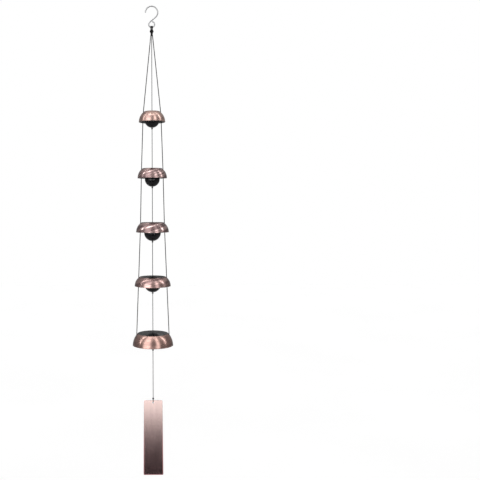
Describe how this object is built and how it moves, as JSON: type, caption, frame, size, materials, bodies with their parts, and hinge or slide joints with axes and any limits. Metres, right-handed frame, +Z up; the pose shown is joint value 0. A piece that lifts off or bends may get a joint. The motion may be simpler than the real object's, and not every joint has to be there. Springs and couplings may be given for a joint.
{
  "type": "wind chime",
  "caption": "Hanging wind chime: copper ring bells strung one below another on two cords, with a ball clapper in each, a flat wind sail and an S-hook.",
  "frame": {"origin": "inner top of the hook's open bend, where the chime hangs", "axes": "+Z up, away from the bells; X through the bells' cord holes and along the flat of the hook and sail"},
  "size_m": [0.0694, 0.0694, 0.802],
  "materials": {
    "steel_wire": "bright drawn wire",
    "black_cord": "braided, matte black",
    "antique_copper": "antique copper plate, brushed, with dark patina",
    "black_lacquer": "high-gloss black",
    "sail_copper": "antique copper plate, brushed lengthwise"
  },
  "bodies": {
    "hook": {"s_hook": "steel_wire"},
    "hanger": {"hanger_loop": "black_cord", "top_knot": "black_cord"},
    "stage_1": {"left_cord_1": "black_cord", "right_cord_1": "black_cord", "bell_knots_1": "black_cord"},
    "bell_1": {"bell_1": "antique_copper"},
    "stage_2": {"left_cord_2": "black_cord", "right_cord_2": "black_cord", "bell_knots_2": "black_cord"},
    "bell_2": {"bell_2": "antique_copper"},
    "stage_3": {"left_cord_3": "black_cord", "right_cord_3": "black_cord", "bell_knots_3": "black_cord"},
    "bell_3": {"bell_3": "antique_copper"},
    "stage_4": {"left_cord_4": "black_cord", "right_cord_4": "black_cord", "bell_knots_4": "black_cord"},
    "bell_4": {"bell_4": "antique_copper"},
    "stage_5": {"left_cord_5": "black_cord", "right_cord_5": "black_cord", "bell_knots_5": "black_cord"},
    "bell_5": {"bell_5": "antique_copper"},
    "clapper_1": {"clapper_cord_1": "black_cord"},
    "clapper_2": {"ball_1": "black_lacquer", "ball_knot_1": "black_cord", "clapper_cord_2": "black_cord"},
    "clapper_3": {"ball_2": "black_lacquer", "ball_knot_2": "black_cord", "clapper_cord_3": "black_cord"},
    "clapper_4": {"ball_3": "black_lacquer", "ball_knot_3": "black_cord", "clapper_cord_4": "black_cord"},
    "clapper_5": {"ball_4": "black_lacquer", "ball_knot_4": "black_cord", "clapper_cord_5": "black_cord", "ball_5": "black_lacquer", "ball_knot_5": "black_cord"},
    "sail_line": {"sail_cord": "black_cord"},
    "sail_swivel": {"sail_knot": "black_cord", "sail_loop": "black_cord"},
    "sail": {"wind_sail": "sail_copper"}
  },
  "joints": [
    {"name": "loop_swing", "type": "hinge", "parent": "hook", "child": "hanger", "pos_m": [0, 0, -0.0296], "axis": [0, 1, 0], "range_deg": [-20, 20]},
    {"name": "stage_1_swing", "type": "hinge", "parent": "hanger", "child": "stage_1", "pos_m": [0, 0, -0.0473], "axis": [1, 0, 0], "range_deg": [-20, 20]},
    {"name": "bell_1_rock", "type": "hinge", "parent": "stage_1", "child": "bell_1", "pos_m": [0, 0, -0.17836], "axis": [1, 0, 0], "range_deg": [-15, 15]},
    {"name": "stage_2_swing", "type": "hinge", "parent": "stage_1", "child": "stage_2", "pos_m": [0, 0, -0.18239], "axis": [1, 0, 0], "range_deg": [-10, 10]},
    {"name": "bell_2_rock", "type": "hinge", "parent": "stage_2", "child": "bell_2", "pos_m": [0, 0, -0.27489], "axis": [1, 0, 0], "range_deg": [-15, 15]},
    {"name": "stage_3_swing", "type": "hinge", "parent": "stage_2", "child": "stage_3", "pos_m": [0, 0, -0.27873], "axis": [1, 0, 0], "range_deg": [-10, 10]},
    {"name": "bell_3_rock", "type": "hinge", "parent": "stage_3", "child": "bell_3", "pos_m": [0, 0, -0.36644], "axis": [1, 0, 0], "range_deg": [-15, 15]},
    {"name": "stage_4_swing", "type": "hinge", "parent": "stage_3", "child": "stage_4", "pos_m": [0, 0, -0.36991], "axis": [1, 0, 0], "range_deg": [-10, 10]},
    {"name": "bell_4_rock", "type": "hinge", "parent": "stage_4", "child": "bell_4", "pos_m": [0, 0, -0.45955], "axis": [1, 0, 0], "range_deg": [-15, 15]},
    {"name": "stage_5_swing", "type": "hinge", "parent": "stage_4", "child": "stage_5", "pos_m": [0, 0, -0.46319], "axis": [1, 0, 0], "range_deg": [-10, 10]},
    {"name": "bell_5_rock", "type": "hinge", "parent": "stage_5", "child": "bell_5", "pos_m": [0, 0, -0.55739], "axis": [1, 0, 0], "range_deg": [-15, 15]},
    {"name": "clapper_swing", "type": "hinge", "parent": "stage_1", "child": "clapper_1", "pos_m": [0, 0, -0.0473], "axis": [1, 0, 0], "range_deg": [-1.65, 1.65]},
    {"name": "clapper_2_fold", "type": "hinge", "parent": "clapper_1", "child": "clapper_2", "pos_m": [0, 0, -0.1784], "axis": [1, 0, 0], "range_deg": [-10, 10]},
    {"name": "clapper_3_fold", "type": "hinge", "parent": "clapper_2", "child": "clapper_3", "pos_m": [0, 0, -0.2786], "axis": [1, 0, 0], "range_deg": [-10, 10]},
    {"name": "clapper_4_fold", "type": "hinge", "parent": "clapper_3", "child": "clapper_4", "pos_m": [0, 0, -0.368], "axis": [1, 0, 0], "range_deg": [-10, 10]},
    {"name": "clapper_5_fold", "type": "hinge", "parent": "clapper_4", "child": "clapper_5", "pos_m": [0, 0, -0.4557], "axis": [1, 0, 0], "range_deg": [-10, 10]},
    {"name": "sail_cord_swing", "type": "hinge", "parent": "clapper_5", "child": "sail_line", "pos_m": [0, 0, -0.5837], "axis": [1, 0, 0], "range_deg": [-45, 45]},
    {"name": "sail_twist", "type": "hinge", "parent": "sail_line", "child": "sail_swivel", "pos_m": [0, 0, -0.6675], "axis": [0, 0, 1], "continuous": true},
    {"name": "sail_tilt", "type": "hinge", "parent": "sail_swivel", "child": "sail", "pos_m": [0, 0, -0.6744], "axis": [0, 1, 0], "range_deg": [-30, 30]}
  ],
  "couplings": [
    {"joint": "clapper_2_fold", "follows": "stage_2_swing", "ratio": 1},
    {"joint": "clapper_3_fold", "follows": "stage_3_swing", "ratio": 1},
    {"joint": "clapper_4_fold", "follows": "stage_4_swing", "ratio": 1},
    {"joint": "clapper_5_fold", "follows": "stage_5_swing", "ratio": 1}
  ]
}
